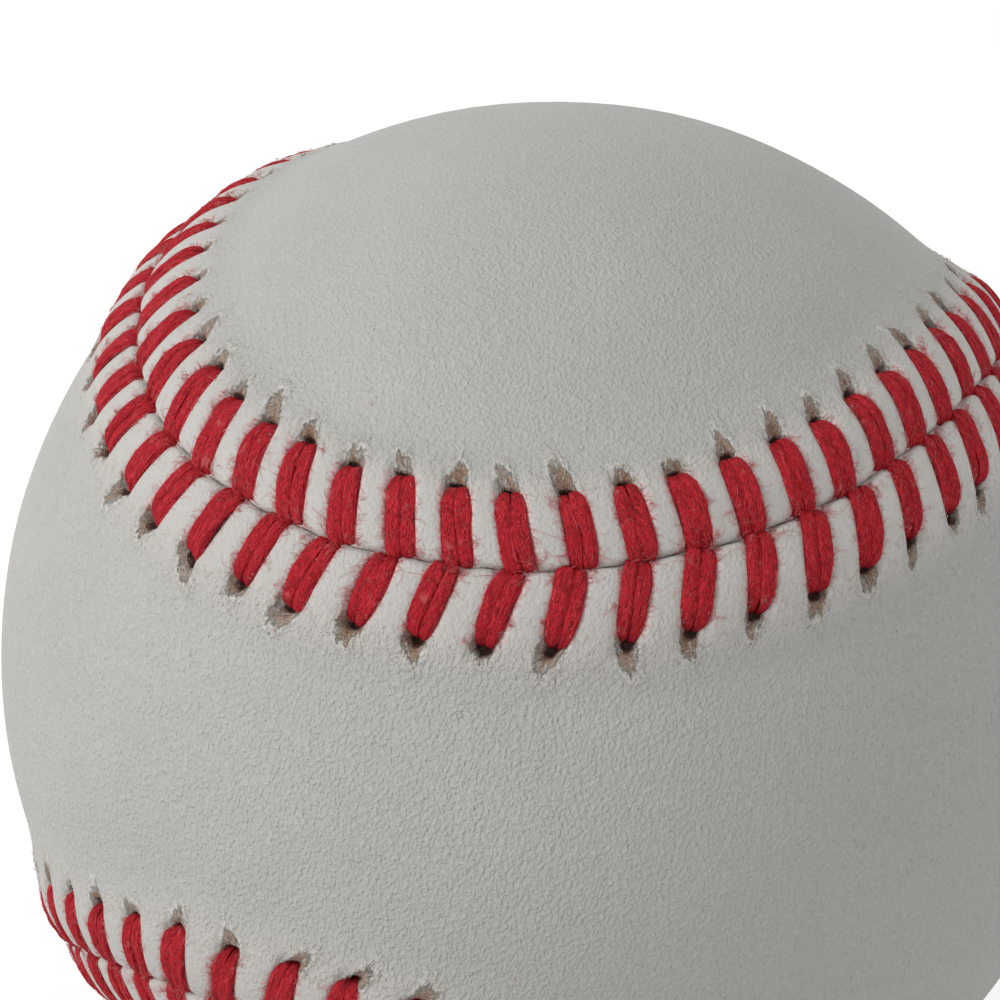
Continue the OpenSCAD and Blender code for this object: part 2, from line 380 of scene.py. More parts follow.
class Skin:
    """Collects rings of points and joins each to the next, where a ring may have half the columns.

    The faces go the other way round while turned is set.
    """

    def __init__(self, turned):
        self.points, self.quads, self.tris, self.corners, self.count = [], [], [], [], 0
        self.turned = turned

    def add(self, direction, radius):
        start = self.count
        self.points.append(direction * np.reshape(radius, (-1, 1)))
        self.count += len(direction)
        return start + np.arange(len(direction))

    def faced(self, faces):
        return faces[:, ::-1] if self.turned else faces

    def join(self, a, b, corners=None):
        if len(a) == len(b):
            corners = np.tile(PLAIN, (len(a), 4, 1)) if corners is None else corners
            self.quads.append(self.faced(np.stack([a, np.roll(a, -1), np.roll(b, -1), b], 1)))
            self.corners.append(self.faced(corners).reshape(-1, len(PLAIN)))
            return
        a0, a1, a2 = a[0::2], a[1::2], np.roll(a[0::2], -1)
        b1 = np.roll(b, -1)
        for tri in ((a0, a1, b), (a1, b1, b), (a1, a2, b1)):
            self.tris.append(self.faced(np.stack(tri, 1)))

    def finish(self, name):
        points, quads, tris = (np.concatenate(part) for part in (self.points, self.quads, self.tris))
        corners = np.concatenate([*self.corners, np.tile(PLAIN, (tris.size, 1))])
        layers = [(label, "CORNER", corners[:, 3 * i:3 * i + 3]) for i, label in enumerate(LAYERS)]
        return make_object(name, points, quads, tris, *layers)


def edge_columns():
    """c of every column of vertices, and the stitch that each belongs to."""
    shares = np.array(COLUMN_SHARES)
    in_pitch = np.concatenate([[-0.5], -shares[::-1], [0.0], shares])
    return (np.arange(LEGS)[:, None] + in_pitch).ravel(), np.repeat(np.arange(LEGS), len(in_pitch))


def stitched_band(skin, row):
    """The rings from the seam to past the holes, on the stitches' columns. Returns the two ends."""
    c, k = edge_columns()
    next_c = np.append(c[1:], c[0] + LEGS)
    # Places on a circle as long as the seam, with the shift of the row's tears.
    here, beyond = (np.stack([ROW_R * np.cos(a), ROW_R * np.sin(a), np.full_like(a, row.tear_shift)], 1)
                    for a in (c / LEGS * 2 * math.pi, next_c / LEGS * 2 * math.pi))
    places = np.stack([here, beyond, beyond, here], 1)
    tears = np.stack([row.tear_half[k], row.tear_reach[k], row.hole_long[k]], 1)
    tears = np.repeat(tears[:, None], 4, 1)
    distances = [EDGE_D + (row.holes - EDGE_D) * u for u in INNER_SHARES]
    distances += [row.holes + p for p in OUTER_STEPS]
    rings, marks = [], []
    for d in distances:
        direction = row.direction(c, d)
        ragged = sum(soft_noise(direction * BALL_R, *rag) for rag in RAGS)
        rings.append(skin.add(direction, BALL_R + (row.height(c, d, k, ragged) + swell(direction))))
        leans = [row.lean_at((at - k) * row.spacing(at, d), d, k) for at in (c, next_c)]
        past = np.full_like(c, d - row.holes)
        marks.append([np.stack([lean, past, row.tear_seed[k]], 1) for lean in leans])
    for i in range(len(rings) - 1):
        holes = np.stack([marks[i][0], marks[i][1], marks[i + 1][1], marks[i + 1][0]], 1)
        skin.join(rings[i], rings[i + 1], np.concatenate([holes, tears, places], 2))
    return rings[0], rings[-1]


def to_middle(skin, row, ring, c, start_d, radius_of, steps):
    """Rings from distance start_d to the panel's middle line, where the columns end in pairs."""
    n = len(c)
    numbers = np.arange(n) + round((row.start + c[0] * PITCH) / (SEAM_LENGTH / n))
    even_t = spaced_t(numbers * SEAM_LENGTH / n, SEAM_LENGTHS, 0)
    leg_t = row.t_at(c, start_d)
    for step in range(1, steps):
        u = step / steps
        t = leg_t + (even_t - leg_t) * smooth(u, 0, 0.5)
        direction = between_dir(beside_dir(t, row.side * start_d), middle_dir(row.side, t), u)
        inner = skin.add(direction, radius_of(direction))
        skin.join(ring, inner)
        ring = inner
    turn = n // 2 if row.side > 0 else 0
    partner = (turn - numbers - numbers[0]) % n
    keep = np.minimum(np.arange(n), partner)
    own = np.unique(keep)
    middle = middle_dir(row.side, even_t[own])
    skin.join(ring, skin.add(middle, radius_of(middle))[np.searchsorted(own, keep)])


def close_up(skin, row, ring, d, widths, radius_of, steps):
    """Carries a panel from its ring at distance d to its middle, with half and a quarter of the columns."""
    c, _ = edge_columns()
    for width in widths:
        c = c[::2]
        direction = row.direction(c, d + width)
        coarser = skin.add(direction, radius_of(direction))
        skin.join(ring, coarser)
        ring = coarser
    to_middle(skin, row, ring, c, d + widths[-1], radius_of, steps)


def leather_panel(name, row):
    """The stitched band and the rest of the outside, then the cut edge beside the seam and the underside."""
    skin = Skin(turned=row.side < 0)
    edge, last = stitched_band(skin, row)
    close_up(skin, row, last, row.edge_d, OUTSIDE_WIDTHS, lambda at: BALL_R + swell(at), OUTSIDE_STEPS)
    skin.turned = not skin.turned
    below = skin.add(row.direction(edge_columns()[0], EDGE_D), UNDER_R)
    skin.join(edge, below)
    close_up(skin, row, below, EDGE_D, UNDERSIDE_WIDTHS, lambda at: UNDER_R, UNDERSIDE_STEPS)
    return skin.finish(name)


def fibre_object(name, centre, up, radius, own):
    """Thin three-sided tubes along paths, as arrays of (tube, step, xyz), with a number for each tube."""
    along = unit(np.gradient(centre, axis=1))
    across = unit(np.cross(along, up))
    above = np.cross(across, along)
    ring = np.stack([centre + (across * math.cos(a) + above * math.sin(a)) * radius[..., None]
                     for a in np.arange(3) * 2 * math.pi / 3], 2)
    ids = np.arange(ring.size // 3).reshape(ring.shape[:3])
    right = np.roll(ids, -1, axis=2)
    quads = np.stack([ids[:, :-1], ids[:, 1:], right[:, 1:], right[:, :-1]], -1).reshape(-1, 4)
    tris = np.concatenate([ids[:, 0, :], ids[:, -1, ::-1]])
    share = np.linspace(0, 1, centre.shape[1])[None, :, None]
    marks = np.stack(np.broadcast_arrays(own[:, None, None], share, np.zeros((1, 1, 3))), -1)
    return make_object(name, ring.reshape(-1, 3), quads, tris, ("fibre", "POINT", marks))


# The thread.

def section_angles():
    """Angles round a strand's section, close together on its top and wide apart on its bed."""
    bed = np.linspace(-math.pi, 0, STRAND_BED_SIDES, endpoint=False)
    top = np.linspace(0, math.pi, STRAND_TOP_SIDES, endpoint=False)
    half = STRAND_BED_SIDES // 2
    return np.concatenate([bed[half:], top, bed[:half] + 2 * math.pi])


def squared(wave, power):
    return np.sign(wave) * np.abs(wave) ** power


THETA = section_angles()
ACROSS = squared(np.cos(THETA), SQUARE_ACROSS)
UPWARD = squared(np.sin(THETA), SQUARE_UP)


class Leg:
    """Stitch k of a row: the path that its two strands share, and how it twists and wanders."""

    def __init__(self, row, k, rng):
        d = np.concatenate([row.holes - STRAND_OUTER[:, 0], STRAND_INNER[:, 0]])
        over, width = np.concatenate([STRAND_OUTER[:, 1:], STRAND_INNER[:, 1:]]).T
        self.rise = crest(d) + over + row.leg_rise[k]
        self.size = width * row.width_share(k, d)
        self.scale = row.leg_half[k] / LEG_HALF
        step = 0.05
        self.up = row.direction(k, d)
        self.along = unit(row.direction(k, d - step) - row.direction(k, d + step))
        self.across = np.cross(self.along, self.up)
        self.length = lengths_along(self.up * BALL_R)
        self.share = self.length / self.length[-1]
        self.twist = rng.uniform(-0.5, 0.5)
        self.together = rng.normal(0, 0.05) * np.sin(self.share * math.pi + rng.uniform(-0.6, 0.6))
        self.uneven = rng.normal(0, 0.07)
        self.rocking = rng.normal(0, 0.035) + self.wander(0.03, 1.3, rng)

    def wander(self, amount, pace, rng):
        return amount * np.sin(pace * self.length + rng.uniform(0, 6))

    def ridges(self, rng):
        """The strand's thickness round it and along it, as a share."""
        phase = rng.uniform(0, 2 * math.pi, 3)
        turn = THETA + self.twist * self.share[:, None]
        far = self.length[:, None]
        ridge = 1 + 0.055 * np.sin(6 * turn + phase[0] + 0.8 * np.sin(1.7 * far + phase[1]))
        ridge += 0.055 * np.sin(11 * turn + phase[1] + 0.9 * far) * np.sin(1.1 * far + phase[0])
        return ridge + 0.03 * np.sin(4 * turn + phase[2] - 0.7 * far)

    def strand(self, lane, rng):
        """Rings of points round the strand on one side, -1 or 1, and the line down its middle."""
        apart = lane * STRAND_APART * self.scale * (0.3 + 0.7 * self.size)
        sway = rng.normal(0, 0.035) * np.sin(self.share * math.pi)
        sway = sway + self.wander(0.025, 1.9, rng) + self.together
        fat = 1 + lane * self.uneven + self.wander(0.05, 1.6, rng) + self.wander(0.03, 3.7, rng)
        lift = rng.normal(0, 0.03) * np.sin(self.share * math.pi * 2 + rng.uniform(0, 6))
        radius = BALL_R + self.rise + lift + lane * self.rocking
        middle = self.up * radius[:, None] + self.across * (apart + sway)[:, None]
        ridge = self.ridges(rng)
        sideways = ACROSS * ridge * STRAND_HALF * self.scale * (self.size * fat)[:, None]
        upwards = UPWARD * ridge * STRAND_RISE * (0.4 + 0.6 * self.size[:, None])
        # The strand tips over as it dives at each end.
        tip = np.arctan(np.gradient(self.rise, self.length))[:, None]
        top = self.up * np.cos(tip) - self.along * np.sin(tip)
        rings = (middle[:, None] + self.across[:, None] * sideways[..., None]
                 + top[:, None] * upwards[..., None])
        return rings, middle


def fibres_on(rings, length, middle, rng, count=34, steps=4):
    """Paths of single fibres that lie along the top of one strand, half sunk in it, and the way out of it."""
    start = rng.uniform(0.0, 0.85, count) * length[-1]
    reach = rng.uniform(0.35, 1.3, count)
    u = np.linspace(0, 1, steps)
    at = np.minimum(start[:, None] + reach[:, None] * u, length[-1] * 0.98)
    turn = rng.uniform(0.08, 0.92, count)[:, None] * math.pi
    drift = rng.normal(0.15, 0.45, count)
    drift = drift + np.where(rng.random(count) < 0.2, rng.normal(0, 1.1, count), 0)
    turn = turn + drift[:, None] * (at - start[:, None])
    turn = turn + rng.normal(0, 0.12, count)[:, None] * np.sin(math.pi * u)
    turn = np.clip(turn, 0.02 * math.pi, 0.98 * math.pi)
    i = np.interp(at, length, np.arange(len(length)))
    j = np.interp(turn, THETA, np.arange(len(THETA)))
    i0, j0 = np.minimum(i.astype(int), len(length) - 2), np.minimum(j.astype(int), len(THETA) - 2)
    fi, fj = (i - i0)[..., None], (j - j0)[..., None]
    near, far = (rings[n, j0] * (1 - fj) + rings[n, j0 + 1] * fj for n in (i0, i0 + 1))
    surface = near * (1 - fi) + far * fi
    out = unit(surface - (middle[i0] * (1 - fi) + middle[i0 + 1] * fi))
    proud = -0.014 + rng.gamma(1.2, 0.022, count)[:, None] * np.sin(math.pi * u) ** 0.6
    return surface + out * proud[..., None], out


def strand_faces(rings, sides, start):
    """Quads round a strand and triangles that close it at two middle points, which come after its rings."""
    ids = start + np.arange(rings * sides).reshape(rings, sides)
    right = np.roll(ids, -1, axis=1)
    quads = np.stack([ids[1:], right[1:], right[:-1], ids[:-1]], -1).reshape(-1, 4)
    first = np.full(sides, start + rings * sides)
    tris = [np.stack([first, ids[0], right[0]], 1), np.stack([first + 1, right[-1], ids[-1]], 1)]
    return quads, np.concatenate(tris)


def thread_row(name, row, seed):
    """The stitches of a row as one piece, and the paths of the single fibres that lie on them."""
    rng = np.random.default_rng(seed)
    fibre_rng = np.random.default_rng(seed + 100)
    points, quads, tris, marks, paths, ups, count = [], [], [], [], [], [], 0
    around = lengths_along(np.stack([ACROSS * STRAND_HALF, UPWARD * STRAND_RISE], 1))
    for k in range(LEGS):
        leg = Leg(row, k, rng)
        far = leg.length[:, None]
        for lane in (-1, 1):
            rings, middle = leg.strand(lane, rng)
            path, out = fibres_on(rings, leg.length, middle, fibre_rng)
            paths.append(path)
            ups.append(out)
            own = rng.uniform(0, 1)
            lines = np.broadcast_arrays(around + GRAIN_TURN * leg.twist * far, far, own)
            points += [rings.reshape(-1, 3), middle[[0, -1]]]
            marks += [np.stack(lines, -1).reshape(-1, 3), [[0, 0, own], [0, leg.length[-1], own]]]
            sides, ends = strand_faces(*rings.shape[:2], count)
            quads.append(sides)
            tris.append(ends)
            count += rings.size // 3 + 2
    points, quads, tris, marks, paths, ups = (
        np.concatenate(part) for part in (points, quads, tris, marks, paths, ups))
    radius = fibre_rng.uniform(0.014, 0.030, len(paths))[:, None] * np.array([0.5, 1, 1, 0.5])
    lying = paths, ups, radius, fibre_rng.uniform(0, 1, len(paths))
    return make_object(name, points, quads, tris, ("strand", "POINT", marks)), lying


# Loose fibres and shreds.

def over_leather(row, k, x, d, lift):
    """Points lift millimetres over the leather or the thread, at x across stitch k and d from the seam."""
    gap = row.spacing(k, d[:, 0])[:, None]
    c = k[:, None] + x / gap
    d = np.clip(d, 0.03, row.edge_d - 0.1)
    nearest = np.round(c).astype(int)
    x_near = np.abs(c - nearest) * gap
    thread = smooth(row.leg_half.mean() - x_near, -0.05, 0.3) * smooth(row.holes - 0.3 - d, -0.1, 0.3)
    height = np.maximum(row.height(c, d, nearest), thread * (crest(d) + 0.06))
    up = row.direction(c, d)
    return up * (BALL_R + height + lift)[..., None], up


def lay(row, rng, k, start, heading, bend, length, lift, radius, tip):
    """Paths of curved hairs beside stitch k from start in x and d, with their ways up, radii and numbers."""
    segments = lift.shape[1] - 1
    here, path = start, [start]
    for i in range(segments):
        a = heading + bend * i / segments
        here = here + (length / segments)[:, None] * np.stack([np.cos(a), np.sin(a)], 1)
        path.append(here)
    path = np.stack(path, 1)
    centre, up = over_leather(row, k, path[..., 0], path[..., 1], lift)
    return centre, up, radius[:, None] * np.linspace(1, tip, segments + 1), rng.uniform(0, 1, len(k))


def per_stitch(count):
    """How many hairs `count` a stitch make, and the stitch of each."""
    return LEGS * count, np.repeat(np.arange(LEGS), count)


def arch(segments):
    """Heights along a hair that stands off in its middle."""
    return np.sin(np.linspace(0.3, 2.9, segments + 1))


def away(side):
    """The heading away from a stitch on one of its sides."""
    return np.where(side > 0, 0, math.pi)


def fuzz(row, rng, hairs=70, segments=4):
    """Fine loose fibres: on the thread, short ones along its edges, and long ones over the leather."""
    total, k = per_stitch(hairs)
    kind = rng.random(total)
    on_thread, along_edge = kind < 0.30, (kind >= 0.30) & (kind < 0.62)
    side = rng.choice([-1, 1], total)
    at_seam = (rng.random(total) < 0.5) & ~along_edge
    d = np.where(at_seam, rng.uniform(0.1, 1.1, total), rng.uniform(0.5, row.holes - 0.2, total))
    x = side * row.leg_half[k] * np.where(on_thread, rng.uniform(-0.1, 0.8, total), 0.90)
    heading = away(side) + rng.normal(0, 0.9, total)
    length = rng.gamma(2.0, 0.22, total).clip(0.12, 1.3) * np.where(at_seam, 1.25, 1.0)
    length *= np.where(on_thread, 0.6, np.where(along_edge, 0.45, 1.0))
    return lay(row, rng, k, np.stack([x, d], 1), heading,
               bend=rng.normal(0, 1, total) * np.where(at_seam, 3.2, 1.4), length=length,
               lift=0.015 + rng.uniform(0.0, 0.15, total)[:, None] * arch(segments),
               radius=rng.uniform(0.010, 0.019, total) * np.where(on_thread, 0.7, 1.0), tip=0.5)


def tangles(row, rng, clumps=4, hairs=14, segments=4):
    """Small tangles of loose fibres on the leather, most of them where the stitches meet at the seam."""
    total, k = per_stitch(clumps)
    at_seam = rng.random(total) < 0.62
    x = row.leg_half[k] * np.where(at_seam, rng.uniform(0.45, 1.35, total), rng.uniform(0.95, 1.2, total))
    d = np.where(at_seam, rng.uniform(0.0, 0.75, total), rng.uniform(0.8, row.holes, total))
    clump = np.stack([rng.choice([-1, 1], total) * x, d, rng.uniform(0.06, 0.26, total)], 1)
    clump, k = np.repeat(clump, hairs, axis=0), np.repeat(k, hairs)
    total *= hairs
    start = clump[:, :2] + rng.normal(0, 1, (total, 2)) * clump[:, 2:]
    length = rng.gamma(3.0, 0.13, total).clip(0.12, 0.9)
    return lay(row, rng, k, start, heading=rng.uniform(0, 2 * math.pi, total),
               bend=rng.normal(0, 3.0, total), length=length,
               lift=0.02 + rng.uniform(0.0, 0.16, total)[:, None] * arch(segments),
               radius=rng.uniform(0.008, 0.015, total), tip=0.6)


def halo(row, rng, hairs=120, segments=2):
    """Very short fibres that stand off both sides of each stitch."""
    total, k = per_stitch(hairs)
    side = rng.choice([-1, 1], total)
    d = rng.uniform(0.10, row.holes - 0.10, total)
    half = row.leg_half[k] * row.width_share(k, d)
    start = np.stack([side * half * rng.uniform(0.80, 0.98, total), d], 1)
    heading = away(side) + rng.normal(0, 0.8, total)
    length = rng.gamma(2.2, 0.10, total).clip(0.08, 0.6)
    return lay(row, rng, k, start, heading, bend=rng.normal(0, 1.5, total), length=length,
               lift=rng.uniform(-0.06, 0.16, total)[:, None] + np.zeros(segments + 1),
               radius=rng.uniform(0.011, 0.021, total), tip=0.5)


def torn_edge(row, rng, shreds=16, segments=4):
    """Shreds of leather that curl up round the torn holes."""
    total, k = per_stitch(shreds)
    turn = rng.uniform(-0.1, 1.1, total) * math.pi
    share = rng.uniform(0.72, 1.08, total)
    out = share * row.tear_reach[k] * np.sin(turn)
    x = row.tear_shift + share * row.tear_half[k] * np.cos(turn) + row.tear_skew[k] * np.maximum(out, 0)
    heading = turn + rng.normal(0, 0.9, total)
    length = rng.uniform(0.12, 0.45, total)
    bend = rng.normal(0, 1.8, total)
    lift = rng.gamma(1.5, 0.04, total)[:, None] * np.linspace(0, 1, segments + 1)
    lift[:, 0] = -0.06
    return lay(row, rng, k, np.stack([x, row.holes + out], 1), heading, bend, length, lift,
               radius=rng.uniform(0.018, 0.045, total), tip=0.35)


# Materials.

class Wire:
    """A node's output, which can be worked with like a number."""

    def __init__(self, nodes, socket):
        self.nodes, self.socket = nodes, socket

    def __add__(self, other):
        return self.nodes.math("ADD", self, other)

    def __sub__(self, other):
        return self.nodes.math("SUBTRACT", self, other)

    def __mul__(self, other):
        return self.nodes.math("MULTIPLY", self, other)

    def __truediv__(self, other):
        return self.nodes.math("DIVIDE", self, other)

    def __pow__(self, other):
        return self.nodes.math("POWER", self, other)


class Nodes:
    """A node tree, built by short calls."""

    def __init__(self, tree):
        self.tree = tree

    def put(self, socket, value):
        value = getattr(value, "socket", value)
        if isinstance(value, bpy.types.NodeSocket):
            self.tree.links.new(value, socket)
        elif hasattr(value, "__len__") and socket.type == "RGBA":
            socket.default_value = (*value, 1)
        else:
            socket.default_value = value

    def node(self, kind, settings=(), **inputs):
        """The outputs of a new node."""
        made = self.tree.nodes.new("ShaderNode" + kind)
        for key, value in dict(settings).items():
            setattr(made, key, value)
        for key, value in inputs.items():
            self.put(made.inputs[key.replace("_", " ")], value)
        return made.outputs

    def apply(self, kind, settings, *values, output=0):
        """A new node with its inputs given in order."""
        outputs = self.node(kind, settings)
        for socket, value in zip(outputs[0].node.inputs, values):
            self.put(socket, value)
        return Wire(self, outputs[output])

    def math(self, operation, a, b=0.0):
        return self.apply("Math", {"operation": operation}, a, b)

    def seen_directly(self):
        """1 for rays that show a surface to the camera, directly or in a gloss or glass."""
        path = self.node("LightPath")
        glossy = self.math("MAXIMUM", path["Is Camera Ray"], path["Is Glossy Ray"])
        return self.math("MAXIMUM", glossy, path["Is Transmission Ray"])


class Paint(Nodes):
    """A node material."""

    def __init__(self, name, **inputs):
        self.material = bpy.data.materials.new(name)
        self.material.use_nodes = True
        super().__init__(self.material.node_tree)
        self.shader = self.tree.nodes["Principled BSDF"]
        for socket, value in inputs.items():
            self.put(self.shader.inputs[socket.replace("_", " ")], value)

    def vector(self, operation, a, b, output=0):
        return self.apply("VectorMath", {"operation": operation}, a, b, output=output)

    def stretch(self, vector, amounts):
        return self.vector("MULTIPLY", vector, amounts)

    def place(self):
        """Millimetres on the object."""
        return self.stretch(self.node("TexCoord")["Object"], (1 / MM,) * 3)

    def parts(self, vector):
        return [Wire(self, part) for part in self.node("SeparateXYZ", Vector=vector)]

    def attribute(self, name):
        return self.parts(self.node("Attribute", {"attribute_name": name})["Vector"])

    def combine(self, x, y, z):
        return self.node("CombineXYZ", X=x, Y=y, Z=z)[0]

    def ramp(self, value, low, high, to_low=0.0, to_high=1.0):
        outputs = self.node("MapRange", {"interpolation_type": "SMOOTHSTEP"}, Value=value, From_Min=low,
                            From_Max=high, To_Min=to_low, To_Max=to_high)
        return Wire(self, outputs[0])

    def mix(self, factor, a, b):
        outputs = self.node("Mix", {"data_type": "RGBA"})
        for i, value in ((0, factor), (6, a), (7, b)):
            self.put(outputs[2].node.inputs[i], value)
        return outputs[2]

    def noise(self, vector, scale, detail=2.0, roughness=0.5, distortion=0.0):
        outputs = self.node("TexNoise", Vector=vector, Scale=scale, Detail=detail, Roughness=roughness,
                            Distortion=distortion)
        return Wire(self, outputs[0])

    def warp(self, vector, scale, amount):
        """The vector pushed about by noise."""
        noise = self.node("TexNoise", Vector=vector, Scale=scale, Detail=1.0)["Color"]
        centred = self.vector("SUBTRACT", noise, (0.5, 0.5, 0.5))
        return self.vector("ADD", vector, self.stretch(centred, (2 * amount,) * 3))

    def cells(self, vector, scale, feature="F1"):
        return self.node("TexVoronoi", {"feature": feature}, Vector=vector, Scale=scale)

    def bump(self, height, distance, under=None):
        """A bump map, over another one."""
        inputs = {} if under is None else {"Normal": under}
        return self.node("Bump", Height=height, Distance=distance * MM, **inputs)[0]

    def finish(self, colour, roughness=None, normal=None):
        for socket, value in (("Base Color", colour), ("Roughness", roughness), ("Normal", normal)):
            if value is not None:
                self.put(self.shader.inputs[socket], value)
        return self.material


class Leather(Paint):
    """Leather, paler from the stitches to pale_to past their holes, partly as stretched leather and partly as
    painted light, with grain coarse times as high.
    """

    CALM_DIRECTION = (-0.509, 0.002, 0.861)    # of a place near the top where the grain is flatter

    def __init__(self, name, pale_to, coarse):
        super().__init__(name, Specular_IOR_Level=0.35)
        self.pale_to, self.coarse = pale_to, coarse
        self.at = self.place()
        self.x, self.past, self.seed = self.attribute("hole")
        self.half, self.reach, self.hole_long = self.attribute("tear")
        self.row_x, self.row_y, self.shift = self.attribute("row_place")
        # Grain: fine pebbles with pits between them, over slow swells.
        grain_at = self.stretch(self.at, (1.0, 1.0, 0.80))
        self.pebbles = self.noise(grain_at, 4.2, 1.5, 0.5)
        self.pits = self.ramp(self.cells(self.warp(grain_at, 2.6, 0.13), 4.6)["Distance"], 0.0, 0.42)
        self.fine = self.noise(grain_at, 8.0, 2, 0.6)
        self.wander = self.noise(self.at, 1.6, 2)

    def plain(self):
        """Off-white with soft mottling, darker pits, a few specks and painted highlights on the pebbles'
        tops; paler near the stitches, partly as stretched leather and partly as painted light, and whiter
        towards +x as painted light from the right.
        """
        slow = self.noise(self.at, 0.10, 3)
        colour = self.mix(self.ramp(slow, 0.35, 0.65), (0.508, 0.500, 0.470), (0.482, 0.482, 0.455))
        # Painted light: the pale tint grows whiter towards +x, standing in for light from the right.
        painted_light_from_right = self.ramp(self.parts(self.at)[0], 17.0, 33.0)
        white = self.mix(painted_light_from_right, (0.605, 0.571, 0.538), (0.730, 0.692, 0.652))
        # Paler from the stitches to pale_to past the holes: partly stretched leather, partly painted light
        # that lifts the shade on the lobes and on the band's slope away from the key light.
        colour = self.mix(self.ramp(self.past, -0.2, self.pale_to, 1.0, 0.0) * 0.9, colour, white)
        colour = self.mix(self.ramp(self.wander, 0.3, 0.7, 0.0, 0.35), colour, (0.535, 0.528, 0.500))
        colour = self.mix(self.ramp(self.pits, 0.0, 0.45, 0.05, 0.0), colour, (0.36, 0.345, 0.31))
        colour = self.mix(self.ramp(self.fine, 0.32, 0.44, 0.06, 0.0), colour, (0.36, 0.35, 0.32))
        # Painted highlights: a lighter colour on the pebbles' tops.
        colour = self.mix(self.ramp(self.pebbles, 0.54, 0.70, 0.0, 0.5), colour, (0.60, 0.59, 0.56))
        specks = self.cells(self.at, 0.45)
        pick, size, _ = self.node("SeparateColor", Color=specks["Color"])
        near = Wire(self, specks["Distance"]) + self.fine * 0.06
        near = self.ramp(near, 0.028, self.ramp(size, 0.0, 1.0, 0.035, 0.13), 1.0, 0.0)
        brown = self.mix(self.ramp(size, 0.15, 0.4), (0.10, 0.085, 0.07), (0.36, 0.26, 0.15))
        return self.mix(near * self.ramp(pick, 0.62, 0.66) * 0.7, colour, brown)

    def painted_thread_bounce(self, colour):
        """Painted light where the leather meets the thread: a pale pink that offsets the shade in the crevice
        and stands in for light bounced off the red thread.
        """
        beside = self.ramp(self.math("ABSOLUTE", self.x), 0.94, 1.10, 0.8, 0.0)
        return self.mix(beside * self.ramp(self.past, -0.3, 0.1, 1.0, 0.0), colour, (0.76, 0.60, 0.575))

    def torn(self, colour):
        """Torn leather with its pale lip and stain, and a dark spot painted as the shade in the needle hole
        at a stitch's outer end.
        """
        ragged = self.noise(self.at, 3.2, 4, 0.8) - 0.5
        broad = self.noise(self.at, 1.3, 2, 0.6) - 0.5
        spikes = self.noise(self.combine(self.x * 2.8, self.seed * 40.0, self.past * 0.5), 1.0, 2, 0.7) - 0.5
        out = self.math("MAXIMUM", self.past - spikes * 2.2, 0.0)
        aside = self.x + broad * 0.5
        rim = (((aside - self.shift) / self.half) ** 2 + (out / self.reach) ** 2) ** 0.5 + ragged * 0.9
        begun = self.ramp(self.past, -0.75, -0.45)
        self.tear = self.ramp(rim, 0.86, 0.98, 1.0, 0.0) * begun
        self.lip = self.ramp(rim, 0.98, 1.05) * self.ramp(rim, 1.15, 1.75, 1.0, 0.0) * begun

        self.fibres = self.noise(self.at, 6.0, 3, 0.75)
        torn = self.mix(self.ramp(self.fibres, 0.36, 0.64), (0.330, 0.178, 0.115), (0.57, 0.42, 0.305))
        torn = self.mix(self.ramp(rim, 0.15, 0.75, 0.40, 0.0), torn, (0.175, 0.065, 0.048))
        torn = self.mix(self.ramp(rim + spikes * 0.8, 0.60, 0.98, 0.0, 0.55), torn, (0.58, 0.47, 0.37))
        # Some tears are paler than others towards their rims.
        paler = self.ramp(self.seed, 0.25, 0.8) * self.ramp(rim, 0.25, 0.85, 0.0, 0.65)
        torn = self.mix(paler, torn, (0.63, 0.53, 0.46))
        strips = self.noise(self.combine(self.x * 3.4, self.past * 1.5, self.seed * 90.0), 1.0, 2, 0.6, 0.8)
        self.flakes = self.ramp(strips, 0.53, 0.60)
        torn = self.mix(self.flakes * 0.85, torn, (0.66, 0.62, 0.56))
        deep = self.math("MAXIMUM", self.past, 0.0)
        hole = ((aside / HOLE_HALF) ** 2 + (deep / self.hole_long) ** 2) ** 0.5
        # Painted shade: a dark spot where the needle hole is.
        torn = self.mix(self.ramp(hole + ragged * 0.8, 0.82, 1.10, 1.0, 0.0), torn, (0.120, 0.062, 0.048))

        raised = self.lip * self.ramp(self.pebbles, 0.42, 0.56, 0.25, 0.95)
        colour = self.mix(raised, colour, (0.70, 0.68, 0.635))
        stain = self.ramp(rim, 0.95, 1.5, 1.0, 0.0) * self.ramp(self.wander, 0.5, 0.62, 0.0, 0.35) * begun
        return self.mix(self.tear, self.mix(stain, colour, (0.42, 0.31, 0.21)), torn)

    def creased(self, colour):
        """Fine creases and cracks beside the holes and past them, along the pull of the thread."""
        fan = self.combine(self.row_x * 3.6, self.row_y * 3.6, self.past * 1.15)
        wrinkle = self.noise(fan, 1.0, 3, 0.6, 0.6)
        near = self.ramp(self.past, -1.5, -0.2) * self.ramp(self.past, 0.9, 3.5, 1.0, 0.0)
        self.crease = wrinkle * near
        crack = self.ramp(self.math("ABSOLUTE", wrinkle - 0.5), 0.0, 0.03, 1.0, 0.0) * near
        return self.mix(crack * self.ramp(self.wander, 0.45, 0.6, 0.0, 0.55), colour, (0.34, 0.27, 0.19))

